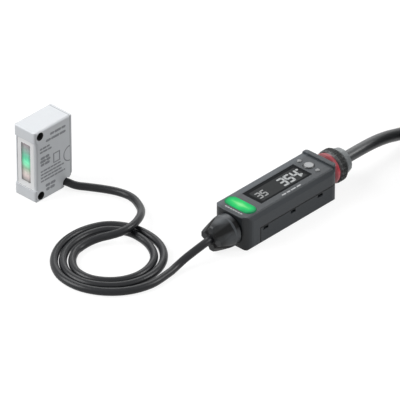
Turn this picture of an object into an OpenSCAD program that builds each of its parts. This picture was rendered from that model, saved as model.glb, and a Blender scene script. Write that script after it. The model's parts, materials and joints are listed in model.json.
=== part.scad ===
// Laser photoelectric sensor with a separate amplifier in its cable.
// The head stands on its base, the amplifier lies on the same surface, and a
// thin cable joins them. A round plug carries the thicker output cable.
// +X runs along the amplifier towards its plug, +Z is up, and the origin lies
// on the floor under the middle of the head and amplifier together.

/* [Layout] */
// From the head's front face to the amplifier's near face, along X
head_lead = 29; // [24:1:40]
// From the amplifier's axis to the head's near side, along Y
head_offset = 69.4; // [60:0.2:80]

/* [Sensor head] */
// Width of the head
head_w = 11; // [10.5:0.5:14]
// Depth of the head, from its end blocks' front to its back
head_d = 19.4; // [18.4:0.2:24]
// Height of the head
head_h = 29.8; // [29:0.2:36]
// Edge radius of the head's case
head_edge_r = 1.1; // [0.6:0.1:1.6]
// Size of the corner cut where the cable leaves
head_corner = 5.4; // [5:0.1:6.5]
// Wall of the head's case
head_wall = 1; // [0.7:0.1:1.3]
// Thickness of the rear cover
rear_cover_t = 1.3; // [1:0.1:1.8]
// Setback of the rear cover from the case all round
rear_inset = 0.2; // [0.1:0.05:0.4]

/* [Mounting holes] */
// Mounting holes' centres from the head's top and base
hole_edge = 2.2; // [2.1:0.1:3]
// Diameter of a mounting hole, for M3
hole_d = 3.2; // [2.6:0.1:3.4]
// Mounting hole's centre behind the front face
hole_setback = 2.6; // [2.4:0.1:3.2]

/* [Front cover and window] */
// Front cover's distance from the head's top and base
cover_edge = 4.7; // [4.5:0.1:5.4]
// Depth of the front cover behind the end blocks' front
cover_d = 2.3; // [2:0.1:2.8]
// Setback of the front cover from the end blocks' front
cover_inset = 0.55; // [0.3:0.05:0.7]
// Width of the case's edge beside the front cover
cover_side = 1.15; // [1:0.05:1.4]
// Width of the window
window_w = 4.6; // [3.4:0.1:5]
// Window's distance from the front cover's top and bottom
window_edge = 2.05; // [1.8:0.05:2.6]
// Thickness of the window pane
pane_t = 0.6; // [0.5:0.05:0.7]
// Ledge that holds the window pane's edge
pane_ledge = 0.6; // [0.4:0.1:0.8]

/* [Optics] */
// Length of the lens holder, front to back
holder_l = 7.8; // [7:0.1:8.6]
// Diameter of the laser's lens
emitter_d = 3.2; // [2.4:0.1:3.4]
// Laser lens's centre below the lens holder's top
emitter_edge = 3; // [2.6:0.1:3.4]
// Diameter of the receiver's lens
receiver_d = 4; // [3:0.1:4.2]
// Receiver lens's centre above the lens holder's bottom
receiver_edge = 3.2; // [2.9:0.1:3.6]
// Width of the status light's guide
guide_w = 2.8; // [2:0.1:3.2]
// Height of the status light's guide
guide_h = 3.6; // [3:0.1:4.2]
// Thickness of each circuit board
board_t = 0.8; // [0.6:0.1:1]

/* [Amplifier body] */
// Length of the amplifier's body up to its end cap
body_l = 47; // [46:0.5:60]
// Width of the body
body_w = 17; // [16.6:0.2:19]
// Height of the body
body_h = 14; // [13.8:0.1:16]
// Width of the flat top between the shoulders
top_w = 15.2; // [14.8:0.2:15.8]
// Height at which the shoulders start
shoulder_z = 11.9; // [11.4:0.1:12.4]
// Wall of the upper and lower case
body_wall = 1.2; // [0.9:0.1:1.4]
// Radius of the body's two near corners, seen from above
near_r = 3.6; // [2:0.2:4.4]
// Radius of the two far corners, seen from above
far_r = 4; // [2:0.2:4.4]
// Bevel along the bottom edges
base_bevel = 0.9; // [0.4:0.1:1.2]
// Height of the seam between the upper and lower case
seam_z = 7.4; // [7:0.1:8]
// Gap shown at the seam
seam_gap = 0.2; // [0.1:0.05:0.3]
// Length of the near block, which is one piece with the upper case
block_l = 7.1; // [6:0.1:8]
// Thickness of the end cap
cap_t = 2.4; // [2:0.1:3]
// How far the end cap stands above the top
cap_rise = 0.8; // [0.3:0.1:1]

/* [Snap hooks] */
// Number of snap hooks on each side
hook_count = 3; // [2:1:3]
// First hook's centre from the near face
hook_start = 10; // [9.4:0.1:11]
// Last hook's centre before the end cap
hook_end = 8.1; // [7:0.1:9]
// Length of a hook's slot
hook_l = 2.6; // [2:0.1:3]
// Height of a hook's slot
hook_h = 1; // [0.8:0.1:1.2]

/* [Indicator and display] */
// Near edge of the indicator lens from the near face
lens_start = 2.9; // [2.8:0.1:3.6]
// Length of the indicator lens along the body
lens_l = 5.4; // [4.6:0.1:5.6]
// Length of the indicator lens across the body
lens_w = 13.7; // [11:0.1:14]
// How far the indicator lens stands above the top
lens_rise = 0.35; // [0.1:0.05:0.5]
// Depth of the indicator lens in the top
lens_t = 0.8; // [0.6:0.05:0.9]
// Near edge of the display window from the near face
display_start = 11.6; // [10:0.1:12]
// Distance from the display window's far edge to the set button
display_gap = 1.1; // [0.9:0.1:3]
// Width of the display window
display_w = 9.4; // [8:0.2:10]
// Thickness of the display window
display_t = 0.8; // [0.5:0.05:0.9]

/* [Buttons] */
// Set button's centre before the end cap
set_back = 5.1; // [4.6:0.1:5.4]
// Diameter of the set button
set_d = 4.4; // [3.6:0.1:4.6]
// Up and down keys' centres before the end cap
key_back = 5.3; // [4.8:0.1:5.6]
// Up and down keys' distance from the middle
key_side = 4.5; // [4.2:0.1:5.4]
// Diameter of an up or down key
key_d = 1.8; // [1.4:0.1:1.9]
// How far a button stands above the top
button_rise = 0.4; // [0.2:0.05:0.6]
// Travel of a button
button_travel = 0.3; // [0.2:0.05:0.3]

/* [Cable gland] */
// Height of the gland's axis
gland_z = 6.7; // [6.4:0.1:7]
// Length of the gland beyond the near face
gland_l = 9.8; // [9:0.1:11]
// Diameter of the gland nut
gland_d = 12.6; // [12:0.1:12.7]
// Diameter of the gland nut's tip
gland_tip_d = 10.4; // [9.4:0.1:10.8]
// Diameter of the threaded stub under the gland nut
stub_d = 8.4; // [8:0.1:9]
// Length of the gland nut's round collar beside the body
collar_l = 2.8; // [2:0.1:3.4]
// Number of hollows round the gland nut
flute_count = 4; // [4:1:6]
// Radius of a hollow
flute_r = 8; // [6:0.5:10]
// Distance from a hollow's floor to the axis at the tip
flute_floor = 3.4; // [3.2:0.1:4]

/* [Round connector] */
// Height of the connector's axis
axis_z = 8; // [7.6:0.1:8.1]
// Thread diameter, M12
thread_d = 12; // [11.6:0.1:12.2]
// Length of the socket beyond the end cap
socket_l = 5.6; // [5.4:0.1:5.8]
// Diameter of the neck under the ring
neck_d = 9.8; // [9.6:0.1:10.2]
// Bore of the socket shell
shell_bore = 8.7; // [8.5:0.1:8.9]
// Length of the red ring
ring_l = 3.4; // [3.2:0.1:3.7]
// Diameter of the red ring
ring_d = 12.5; // [12.1:0.1:13]
// Length of the coupling nut
nut_l = 3.6; // [3.4:0.1:4]
// Diameter of the coupling nut
nut_d = 13.2; // [13:0.1:13.6]
// Number of grip grooves in the coupling nut
grip_count = 20; // [12:1:28]
// Length of the plug behind its coupling nut
plug_l = 3.8; // [3.6:0.1:6]
// Diameter of the plug's front end
plug_d = 11.2; // [10:0.1:12]
// Diameter of the plug's rear end
plug_tail_d = 9.4; // [8:0.1:9.8]
// Number of contact pins
pin_count = 5; // [3:1:5]
// Diameter of a contact pin
pin_d = 1; // [0.8:0.1:1.1]
// Radius of the circle that the outer pins stand on
pin_circle_r = 2.5; // [2.2:0.1:2.8]

/* [Cables] */
// Diameter of the cable to the head
sensor_cable_d = 3; // [2.6:0.1:3]
// Diameter of the output cable
output_cable_d = 4.7; // [4.2:0.1:4.8]
// Distance between neighbouring turns in the coil
turn_pitch = 4.8; // [4.7:0.05:5]
// From the plug's end to the coil's centre, along X
coil_lead = 47.5; // [44:0.5:60]
// Mean radius of the coil
coil_r = 27; // [25:0.5:28]
// Turns beside each other in the coil
coil_columns = 3; // [3:1:3]
// Layers of turns in the coil
coil_layers = 4; // [4:1:4]
// Thickness of the ties round the coil
tie_t = 0.7; // [0.5:0.1:1]
// Width of the ties round the coil
tie_w = 7; // [5:0.5:9]

/* [Clearances] */
// Clearance between fixed pieces
fit_gap = 0.08; // [0.05:0.01:0.12]
// Clearance of a piece that slides or turns
run_gap = 0.06; // [0.04:0.01:0.1]

/* [Hidden] */
$fn = 64;

// Places of the head and the amplifier
socket_end = body_l + cap_t + socket_l;
amp_x = (head_lead - socket_end) / 2;
amp_y = (body_w / 2 - head_offset - head_w) / 2;
head_x = amp_x - head_lead;
head_y = amp_y + head_offset;

// Head
head_mid_y = head_w / 2;
head_mid_z = head_h / 2;
split_x = head_d - rear_cover_t;
cover_z0 = cover_edge;
cover_z1 = head_h - cover_edge;
window_h = cover_z1 - cover_z0 - 2 * window_edge;
cover_face_t = 0.5;
pane_x = cover_inset + cover_face_t;
pane_back = pane_x + pane_t;
holder_x = cover_d + fit_gap;
holder_end = holder_x + holder_l;
board_x = holder_end + fit_gap;
holder_z0 = cover_z0 + 1.6;
holder_z1 = cover_z1 - 1.6;
emitter_z = holder_z1 - emitter_edge;
receiver_z = holder_z0 + receiver_edge;
lens_seat = 1.1;
boot_d = 3.4;
boot_tip_d = 3.1;
boot_axis_x = head_d - 3.8;
boot_axis_y = 0.55;
boot_axis_z = 2.1;
boot_turn = -66;
boot_length = (boot_axis_x - board_x - board_t - fit_gap - boot_d / 2 * sin(-boot_turn))
    / cos(boot_turn);

// Amplifier
cavity_top = body_h - body_wall;
cavity_x = 2.2;
inner_w = body_w - 2 * body_wall;
lens_ledge = 0.5;
lens_bevel = 0.2;
lens_far = (lens_w - lens_l) / 2;
window_seat_z = body_h - 0.05 - display_t;
display_l = body_l - set_back - set_d / 2 - display_gap - display_start;
hook_pitch = (body_l - hook_start - hook_end) / (hook_count - 1);
hook_t = 0.9;
module_t = 1.5;
plate_top = cavity_top - module_t - 0.1;
plate_z = plate_top - board_t;
deck_z = body_wall + 2.4;
deck_top = deck_z + board_t;
board_end = body_l - 2;
link_l = 10;
link_w = 2.5;
flange_t = 0.5;
flange_out = 0.25;
flange_top = cavity_top - fit_gap;
switch_top = flange_top - flange_t - button_travel - 0.05;
cap_x = body_l;
ring_x = cap_x + cap_t + fit_gap;
thread_x = ring_x + ring_l + fit_gap;
nut_x = thread_x;
nut_end = nut_x + nut_l;
plug_x = nut_end + 0.4;
plug_end = plug_x + plug_l;
flange_x = socket_end + 0.15;
insert_face = cap_x + 3;
seat_r = 5.4;
seat_t = 1.3;
pin_tip = flange_x - 1.2;

// Route of the cable from the head, measured from the amplifier's near face and
// axis: first over to the loops, then the loops by their radii, then up to the
// gland. All in millimetres.
head_run = [[-13, 68.2, 2], [-12.4, 66.4, 1.7], [-11.3, 64.4, 1.5], [-10.1, 62.5, 1.5],
    [-8.2, 59.3, 1.5], [-6.4, 56, 1.5], [-4.8, 52.4, 1.5], [-3.8, 48.3, 1.5],
    [-4, 44.6, 1.6], [-5.4, 40.8, 1.7], [-8.8, 35.8, 2.6], [-13.9, 31.6, 4],
    [-19.9, 29, 4.7], [-25.2, 28.9, 4.5], [-29.3, 31, 3.8], [-32.6, 33.7, 2.9],
    [-36.4, 35.4, 2.1], [-40.6, 35.8, 1.5]];
loop_centre = [-37.5, 23];
loop_start = 120;
loop_step = 24;
loop_radii = [13.6, 14.2, 15, 15.2, 14.9, 14.8, 14.8, 14.9, 15.3, 15.6, 16.4, 17.8,
    18.4, 17.6, 17, 17, 17.6, 18.3, 18.4, 18, 18, 18, 18.3, 18.8, 19.3, 19.9, 21,
    21.6, 20.8, 20.2, 20.2, 20.8, 21.5, 21.7, 21.7, 21.9, 22.2, 22.8];
gland_run = [[-25.8, 1.8, 2], [-21.8, 1.6, 3.3], [-17.8, 0.9, 4.8], [-14.3, 0.2, 6.1],
    [-11.8, 0, 6.6]];
boot_end = [head_x + boot_axis_x, head_y + boot_axis_y, boot_axis_z];
gland_end = [amp_x - gland_l, amp_y, gland_z];
loops = [for (i = [0 : len(loop_radii) - 1])
    let (a = loop_start + i * loop_step)
    [loop_centre[0] + loop_radii[i] * cos(a), loop_centre[1] + loop_radii[i] * sin(a), 1.5]];
sensor_route = concat([boot_end],
    [for (p = concat(head_run, loops, gland_run)) p + [amp_x, amp_y, 0]], [gland_end]);
plug_exit = [amp_x + plug_end, amp_y, 0];
plug_drop = [[0, axis_z], [6, 8], [12, 7.9], [18, 7.5], [24, 6.5], [30, 4.9], [35, 3.7],
    [39.5, 3]];
plug_run = [for (p = plug_drop) plug_exit + [p[0], 0, p[1]]];
coil_centre = [plug_exit[0] + coil_lead, amp_y - coil_r - turn_pitch];
coil_out = coil_r + coil_columns * turn_pitch / 2;
coil_in = coil_r - coil_columns * turn_pitch / 2;
coil_top = tie_t + coil_layers * turn_pitch;
tail_z = coil_top + output_cable_d / 2;
tail_start = -6;
tail_step = 20;
tail_rise = [[turn_pitch, 0.2 - output_cable_d], [turn_pitch * 0.7, -1.6], [0, 0], [0, 0], [0, 0],
    [0, 0]];
tail_run = [for (i = [0 : len(tail_rise) - 1])
    let (a = tail_start - i * tail_step, r = coil_r + tail_rise[i][0])
    [coil_centre[0] + r * cos(a), coil_centre[1] + r * sin(a), tail_z + tail_rise[i][1]]];
tail_end = tail_run[len(tail_run) - 1];
tail_heading = tail_start - tail_step * (len(tail_run) - 1.5) - 90;
wire_d = 1.2;
wire_l = 16;
tie_angles = [12, 192];

// Small helpers for outlines

function unit(v) = v / norm(v);

function corner(a, p, b, r, n) =
    r <= 0 ? [p] :
    let (u = unit(a - p), v = unit(b - p), half = acos(u * v) / 2,
        c = p + unit(u + v) * r / sin(half),
        q = p + u * r / tan(half) - c,
        s = p + v * r / tan(half) - c,
        a0 = atan2(q[1], q[0]),
        d0 = atan2(s[1], s[0]) - a0,
        d = d0 > 180 ? d0 - 360 : d0 < -180 ? d0 + 360 : d0)
    [for (i = [0 : n]) c + r * [cos(a0 + d * i / n), sin(a0 + d * i / n)]];

// A polygon's points with each corner rounded by its own radius
function rounded(pts, radii, n = 4) =
    let (m = len(pts))
    [for (i = [0 : m - 1])
        each corner(pts[(i + m - 1) % m], pts[i], pts[(i + 1) % m], radii[i], n)];

function rect(x0, y0, x1, y1) = [[x0, y0], [x1, y0], [x1, y1], [x0, y1]];

// Outlines drawn in YZ, XZ or XY and pushed along the third axis
module along_x(x0, x1) {
    translate([x0, 0, 0]) rotate([90, 0, 90]) linear_extrude(x1 - x0) children();
}

module along_y(y0, y1) {
    translate([0, y1, 0]) rotate([90, 0, 0]) linear_extrude(y1 - y0) children();
}

module along_z(z0, z1) {
    translate([0, 0, z0]) linear_extrude(z1 - z0) children();
}

module block(x0, x1, y0, y1, z0, z1) {
    translate([x0, y0, z0]) cube([x1 - x0, y1 - y0, z1 - z0]);
}

module rod_x(x0, x1, r, y = 0, z = 0) {
    translate([x0, y, z]) rotate([0, 90, 0]) cylinder(h = x1 - x0, r = r);
}

// A solid of revolution about an axis along the body, from [x, radius] points
module turned(pts, z = axis_z) {
    translate([0, 0, z]) rotate([0, 90, 0]) rotate_extrude()
        polygon([for (p = pts) [p[1], p[0]]]);
}

// A tube through the points of a route, square to its two ends
module tube(route, d, sides) {
    m = len(route);
    heading = [for (i = [0 : m - 1])
        unit(route[min(i + 1, m - 1)] - route[max(i - 1, 0)])];
    rings = [for (i = [0 : m - 1])
        let (side = unit(cross([0, 0, 1], heading[i])), up = cross(heading[i], side))
        each [for (k = [0 : sides - 1])
            let (a = 360 * (k + 0.5) / sides)
            route[i] + d / 2 * (side * cos(a) + up * sin(a))]];
    walls = [for (i = [0 : m - 2], k = [0 : sides - 1])
        let (j = (k + 1) % sides)
        each [[i * sides + k, (i + 1) * sides + k, (i + 1) * sides + j],
            [i * sides + k, (i + 1) * sides + j, i * sides + j]]];
    first = [for (k = [0 : sides - 1]) k];
    last = [for (k = [sides - 1 : -1 : 0]) (m - 1) * sides + k];
    polyhedron(points = rings, faces = concat(walls, [first], [last]));
}

// Sensor head, drawn from its front face back, its near side across and its base up

module in_head() {
    translate([head_x, head_y, 0]) children();
}

module head_form() {
    r = head_edge_r;
    intersection() {
        along_y(-1, head_w + 1) polygon(rounded([[0, 0], [head_d - head_corner, 0],
            [head_d, head_corner], [head_d, head_h], [0, head_h]], [0.6, 0.5, 0.5, 0.8, 0.6]));
        along_z(-1, head_h + 1) polygon(rounded(rect(0, 0, head_d, head_w), [r, r, r, r]));
        along_x(-1, head_d + 1) polygon(rounded(rect(0, 0, head_w, head_h), [0.5, 0.5, 0.8, 0.8]));
    }
}

// Axis of the cable where it leaves the head, pointing out
module at_boot() {
    translate([boot_axis_x, boot_axis_y, boot_axis_z]) rotate([0, 0, boot_turn])
        rotate([0, 90, 0]) children();
}

// The case's front between its end blocks: set back, with a pocket for the cover
module front_cut() {
    r = head_edge_r;
    side = cover_side;
    along_z(cover_z0 - fit_gap, cover_z1 + fit_gap) difference() {
        polygon(rect(-1, -1, r + 1, head_w + 1));
        polygon(rounded(rect(cover_inset, 0, head_d, head_w), [r, 0, 0, r]));
    }
    block(-1, cover_d, side, head_w - side, cover_z0 - fit_gap, cover_z1 + fit_gap);
}

module head_cavity() {
    rib = holder_z0 - 0.8;
    slope = head_wall * sqrt(2) - head_corner;
    deep = hole_setback + hole_d / 2 + head_wall + 0.4;
    floor_z = head_wall + 0.2;
    along_y(head_wall, head_w - head_wall) polygon([[cover_d - 0.5, rib],
        [deep, rib], [deep, floor_z], [head_d - floor_z + slope - 0.05, floor_z],
        [split_x + 1, split_x + 1 - head_d - slope + 0.05],
        [split_x + 1, head_h - floor_z], [deep, head_h - floor_z],
        [deep, head_h - rib], [cover_d - 0.5, head_h - rib]]);
}

module head_case() {
    color("silver") in_head() difference() {
        head_form();
        front_cut();
        block(split_x, head_d + 1, -1, head_w + 1, -1, head_h + 1);
        head_cavity();
        for (z = [hole_edge, head_h - hole_edge])
            translate([hole_setback, -1, z]) rotate([-90, 0, 0])
                cylinder(h = head_w + 2, d = hole_d);
        at_boot() translate([0, 0, -boot_length]) cylinder(h = boot_length + 4, d = boot_d + fit_gap);
    }
}

module window_outline(grow) {
    w = window_w / 2 + grow;
    h = window_h / 2 + grow;
    polygon(rounded(rect(head_mid_y - w, head_mid_z - h, head_mid_y + w, head_mid_z + h),
        [0.5, 0.5, 0.5, 0.5]));
}

module front_cover() {
    side = cover_side + fit_gap;
    rim = 0.9;
    color("whitesmoke") in_head() difference() {
        along_z(cover_z0, cover_z1) polygon(rounded(rect(cover_inset, side, cover_d,
            head_w - side), [0.3, 0, 0, 0.3]));
        along_x(-1, cover_d + 1) window_outline(0);
        along_x(pane_x, cover_d + 1) window_outline(pane_ledge);
        block(pane_back + 0.2, cover_d + 1, side + rim, head_w - side - rim, cover_z0 + rim,
            cover_z1 - rim);
    }
}

module front_window() {
    color("dimgray") in_head() union() {
        along_x(pane_x, pane_back) window_outline(pane_ledge - fit_gap);
        along_x(pane_x - 0.3, pane_x) window_outline(-fit_gap);
    }
}

module window_gasket() {
    color("black") in_head() difference() {
        along_x(pane_back, holder_x) window_outline(pane_ledge - fit_gap);
        along_x(pane_back - 1, holder_x + 1) window_outline(-0.1);
    }
}

module lens_holder() {
    edge = head_wall + fit_gap;
    color("black") in_head() difference() {
        block(holder_x, holder_end, edge, head_w - edge, holder_z0, holder_z1);
        for (spot = [[emitter_z, emitter_d], [receiver_z, receiver_d]]) {
            rod_x(holder_x - 1, holder_x + lens_seat, spot[1] / 2 + fit_gap, head_mid_y, spot[0]);
            rod_x(holder_x - 1, holder_end + 1, spot[1] / 2 - 0.4, head_mid_y, spot[0]);
        }
        rod_x(holder_end - 2.4, holder_end + 1, 2 + fit_gap, head_mid_y, emitter_z);
        block(holder_end - 1.2, holder_end + 1, head_mid_y - 2.2, head_mid_y + 2.2,
            receiver_z - 2.6, receiver_z + 2.6);
        block(holder_x - 1, holder_end + 1, head_mid_y - guide_w / 2 - fit_gap,
            head_mid_y + guide_w / 2 + fit_gap, head_mid_z - guide_h / 2 - fit_gap,
            head_mid_z + guide_h / 2 + fit_gap);
    }
}

// A lens with a flat back, its domed face to the front
module dome_lens(d, z) {
    bulge = 0.35;
    edge_t = lens_seat - 0.1 - bulge;
    r = (d * d / 4 + bulge * bulge) / (2 * bulge);
    translate([holder_x + lens_seat, head_mid_y, z]) rotate([0, -90, 0]) intersection() {
        cylinder(h = edge_t + bulge, d = d);
        translate([0, 0, edge_t + bulge - r]) sphere(r = r);
    }
}

module laser_lens() {
    color("lightblue") in_head() dome_lens(emitter_d, emitter_z);
}

module receiver_lens() {
    color("lightblue") in_head() dome_lens(receiver_d, receiver_z);
}

module light_guide() {
    color("palegreen") in_head() block(holder_x, holder_end - 1.1, head_mid_y - guide_w / 2,
        head_mid_y + guide_w / 2, head_mid_z - guide_h / 2, head_mid_z + guide_h / 2);
}

module laser_diode() {
    color("goldenrod") in_head() union() {
        rod_x(board_x - 1.2, board_x, 2, head_mid_y, emitter_z);
        rod_x(board_x - 2.3, board_x - 1.2, 1.5, head_mid_y, emitter_z);
    }
}

module receiver_chip() {
    color("darkslategray") in_head() block(board_x - 1, board_x, head_mid_y - 2, head_mid_y + 2,
        receiver_z - 2.4, receiver_z + 2.4);
}

module status_led() {
    color("lime") in_head() block(board_x - 0.9, board_x, head_mid_y - 0.8, head_mid_y + 0.8,
        head_mid_z - 0.5, head_mid_z + 0.5);
}

module head_board() {
    edge = head_wall + 2 * fit_gap;
    color("darkgreen") in_head() block(board_x, board_x + board_t, edge, head_w - edge,
        edge + 0.4, head_h - edge - 0.4);
}

module rear_cover() {
    lip = head_wall + fit_gap;
    low = split_x - head_d + head_corner + 1.8;
    high = head_h - head_wall - 0.2 - fit_gap;
    color("silver") in_head() union() {
        intersection() {
            head_form();
            block(split_x, head_d + 1, rear_inset, head_w - rear_inset, 0, head_h - rear_inset);
        }
        difference() {
            block(split_x - 0.9, split_x + 0.2, lip, head_w - lip, low, high);
            block(split_x - 2, split_x, lip + 0.8, head_w - lip - 0.8, low + 0.8, high - 0.8);
        }
        for (z = [low + 2, high - 2])
            rod_x(board_x + board_t + fit_gap, split_x + 0.2, 0.9, head_mid_y, z);
    }
}

module cable_boot() {
    color("black") in_head() at_boot() translate([0, 0, -boot_length])
        cylinder(h = boot_length, d1 = boot_d, d2 = boot_tip_d);
}

module sensor_cable() {
    color("dimgray") tube(sensor_route, sensor_cable_d, 8);
}

// Amplifier, drawn from its near face along +X and about its middle

module in_amp() {
    translate([amp_x, amp_y, 0]) children();
}

// Half of the body's section, grown or shrunk by moving its sides
function section(grow, z0, z1) =
    let (w = body_w / 2 + grow, t = top_w / 2 + grow * 0.7, b = base_bevel)
    [[-w + b, z0], [w - b, z0], [w, z0 + b], [w, shoulder_z], [t, z1], [-t, z1],
        [-w, shoulder_z], [-w, z0 + b]];

function section_r() = [0.3, 0.3, 0.3, 1.2, 0.7, 0.7, 1.2, 0.3];

// Body and end cap seen from above
module plan() {
    polygon(rounded(rect(0, -body_w / 2, body_l + cap_t, body_w / 2), [near_r, far_r, far_r, near_r], 6));
}

module body_form() {
    intersection() {
        along_x(0, body_l) polygon(rounded(section(0, 0, body_h), section_r()));
        along_z(-1, body_h + 1) plan();
        along_y(-body_w, body_w) polygon(rounded(rect(0, 0, body_l, body_h), [0.8, 0, 0, 0.8]));
    }
}

// Half the cavity's width at a height between the shoulder and the roof
function cavity_half(z) =
    let (low = inner_w / 2, high = top_w / 2 - body_wall * 0.7)
    low + (high - low) * max(0, z - shoulder_z) / (cavity_top - shoulder_z);

module body_cavity() {
    w = body_wall;
    along_x(cavity_x, body_l + 1) polygon(section(-w, w, cavity_top));
}

// Slots where the upper case's hooks show, along both sides
module at_hooks() {
    for (i = [0 : hook_count - 1], side = [-1, 1])
        translate([hook_start + i * hook_pitch, 0, 0]) scale_side(side) children();
}

module scale_side(side) {
    if (side > 0) children();
    else mirror([0, 1, 0]) children();
}

module hook() {
    inner = inner_w / 2;
    low = seam_z - 0.6 - hook_h;
    block(-hook_l / 2 + 0.2, hook_l / 2 - 0.2, inner - hook_t, inner - fit_gap, low, seam_z + 1);
    block(-hook_l / 2 + 0.2, hook_l / 2 - 0.2, inner - hook_t, inner + 0.3, seam_z + 0.2, seam_z + 1);
    along_x(-hook_l / 2 + 0.2, hook_l / 2 - 0.2) polygon([[inner - 0.3, low],
        [inner - fit_gap, low], [inner + 0.8, low + hook_h * 0.7], [inner + 0.8, low + hook_h - 0.1],
        [inner - 0.3, low + hook_h - 0.1]]);
}

// A bar with round ends, lying across the body
module lens_outline(gap) {
    half = lens_l / 2 + gap;
    translate([lens_start + lens_l / 2, 0]) {
        for (side = [-1, 1])
            translate([0, side * lens_far]) circle(r = half);
        square([2 * half, 2 * lens_far], center = true);
    }
}

module button_hole(x, y, d) {
    translate([x, y, cavity_top - 1]) cylinder(h = body_wall + 2, d = d + 2 * run_gap);
    translate([x, y, switch_top]) cylinder(h = cavity_top - switch_top, d = d + 2 * flange_out + 0.4);
}

module upper_case() {
    stub_r = stub_d / 2;
    color("dimgray") in_amp() difference() {
        union() {
            difference() {
                body_form();
                body_cavity();
                block(block_l, body_l + 1, -body_w, body_w, -1, seam_z);
            }
            rod_x(-6.2, 0.5, stub_r, 0, gland_z);
            at_hooks() hook();
        }
        along_z(body_h - lens_t - fit_gap, body_h + 1) lens_outline(fit_gap);
        along_z(cavity_top - 1, body_h) lens_outline(-lens_ledge);
        rod_x(-7, cavity_x + 1, 3.1, 0, gland_z);
        block(display_start - fit_gap, display_start + display_l + fit_gap, -display_w / 2 - fit_gap,
            display_w / 2 + fit_gap, window_seat_z, body_h + 1);
        block(display_start + 0.6, display_start + display_l - 0.6, -display_w / 2 + 0.6,
            display_w / 2 - 0.6, cavity_top - 1, body_h);
        button_hole(body_l - set_back, 0, set_d);
        for (side = [-1, 1])
            button_hole(body_l - key_back, side * key_side, key_d);
    }
}

module lower_case() {
    post_r = 1.1;
    color("dimgray") in_amp() difference() {
        union() {
            difference() {
                body_form();
                body_cavity();
                block(-1, block_l + seam_gap, -body_w, body_w, -1, body_h + 1);
                block(-1, body_l + 1, -body_w, body_w, seam_z - seam_gap, body_h + 1);
            }
            for (x = [block_l + 5, body_l - 7], y = [-4, 4])
                translate([x, y, body_wall - 0.2]) cylinder(h = deck_z - body_wall + 0.2, r = post_r);
        }
        at_hooks() block(-hook_l / 2, hook_l / 2, inner_w / 2 - 0.5, body_w,
            seam_z - 0.6 - hook_h - 0.1, seam_z - 0.6 + 0.1);
    }
}

module end_cap() {
    outer = rounded(section(0, 0, body_h + cap_rise), section_r());
    tab_y = inner_w / 2 - fit_gap;
    tab_z = body_wall + base_bevel + fit_gap;
    color("dimgray") in_amp() difference() {
        union() {
            intersection() {
                along_x(cap_x, cap_x + cap_t) polygon(outer);
                along_z(-1, body_h + 2) plan();
                along_y(-body_w, body_w) polygon(rounded(rect(cap_x, 0, cap_x + cap_t,
                    body_h + cap_rise), [0, 0.6, 1, 0.3]));
            }
            for (side = [-1, 1])
                block(cap_x - 1.2, cap_x + 0.5, min(side * tab_y, side * (tab_y - 0.7)),
                    max(side * tab_y, side * (tab_y - 0.7)), tab_z, tab_z + 2);
        }
        rod_x(cap_x - 1, cap_x + cap_t + 1, neck_d / 2 + fit_gap, 0, axis_z);
        rod_x(cap_x - 1, cap_x + seat_t, seat_r + fit_gap, 0, axis_z);
    }
}

module gland_nut() {
    r = gland_d / 2;
    tip = gland_tip_d / 2;
    bore = stub_d / 2 + run_gap;
    e = gland_l;
    rim = r - 0.15;
    tilt = atan((rim - flute_floor) / (gland_l - collar_l));
    color("dimgray") in_amp() difference() {
        turned([[-0.2, bore], [-0.2, r - 0.5], [-0.7, r], [-collar_l, r], [-collar_l - 2.6, r - 0.35],
            [1.5 - e, tip + 0.35], [0.4 - e, tip], [-e, tip - 0.4], [-e, 2.1],
            [1.4 - e, 2.1], [-6.3, 3.2], [-6.3, bore]], gland_z);
        for (i = [0 : flute_count - 1])
            translate([0, 0, gland_z]) rotate([45 + i * 360 / flute_count, 0, 0])
                translate([-collar_l, 0, rim]) rotate([0, -tilt, 0]) translate([3, 0, flute_r])
                    rotate([0, -90, 0]) cylinder(h = gland_l + 3, r = flute_r);
    }
}

module gland_seal() {
    e = gland_l;
    color("black") in_amp() turned([[-0.6, 0], [-0.6, 3.02], [-6.2, 3.02], [1.5 - e, 2.02],
        [-e, 2.02], [-e, 0]], gland_z);
}

module indicator_lens() {
    half = lens_l / 2;
    low = body_h - lens_t;
    high = body_h + lens_rise;
    slope = [[half, low], [half, high - lens_bevel], [half - lens_bevel, high]];
    color("limegreen") in_amp() translate([lens_start + half, 0, 0]) {
        for (side = [0, 180])
            rotate([0, 0, side]) translate([0, lens_far, 0])
                rotate_extrude(angle = 180) polygon(concat([[0, low]], slope, [[0, high]]));
        rotate([90, 0, 0]) linear_extrude(2 * lens_far, center = true)
            polygon(concat(slope, [for (i = [2:-1:0]) [-slope[i][0], slope[i][1]]]));
    }
}

module indicator_leds() {
    x = lens_start + lens_l / 2;
    color("lime") in_amp() for (y = [-3, 0, 3])
        block(x - 0.8, x + 0.8, y - 0.8, y + 0.8, plate_top, plate_top + 0.7);
}

module display_window() {
    color("black") in_amp() block(display_start, display_start + display_l, -display_w / 2,
        display_w / 2, window_seat_z, window_seat_z + display_t);
}

module display_module() {
    color("darkslategray") in_amp() block(display_start + 1.2, display_start + display_l - 1.2,
        -display_w / 2 + 0.9, display_w / 2 - 0.9, plate_top, cavity_top - 0.1);
}

module display_board() {
    half = cavity_half(plate_top) - 0.4;
    color("darkgreen") in_amp() block(cavity_x + 0.5, board_end, -half, half, plate_z, plate_top);
}

module main_board() {
    half = inner_w / 2 - hook_t - 0.1;
    color("darkgreen") in_amp() block(block_l + 2, board_end, -half, half, deck_z, deck_top);
}

module board_link() {
    half = cavity_half(plate_top) - 0.8;
    color("black") in_amp() block(block_l + 6, block_l + 6 + link_l, half - link_w, half, deck_top, plate_z);
}

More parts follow.
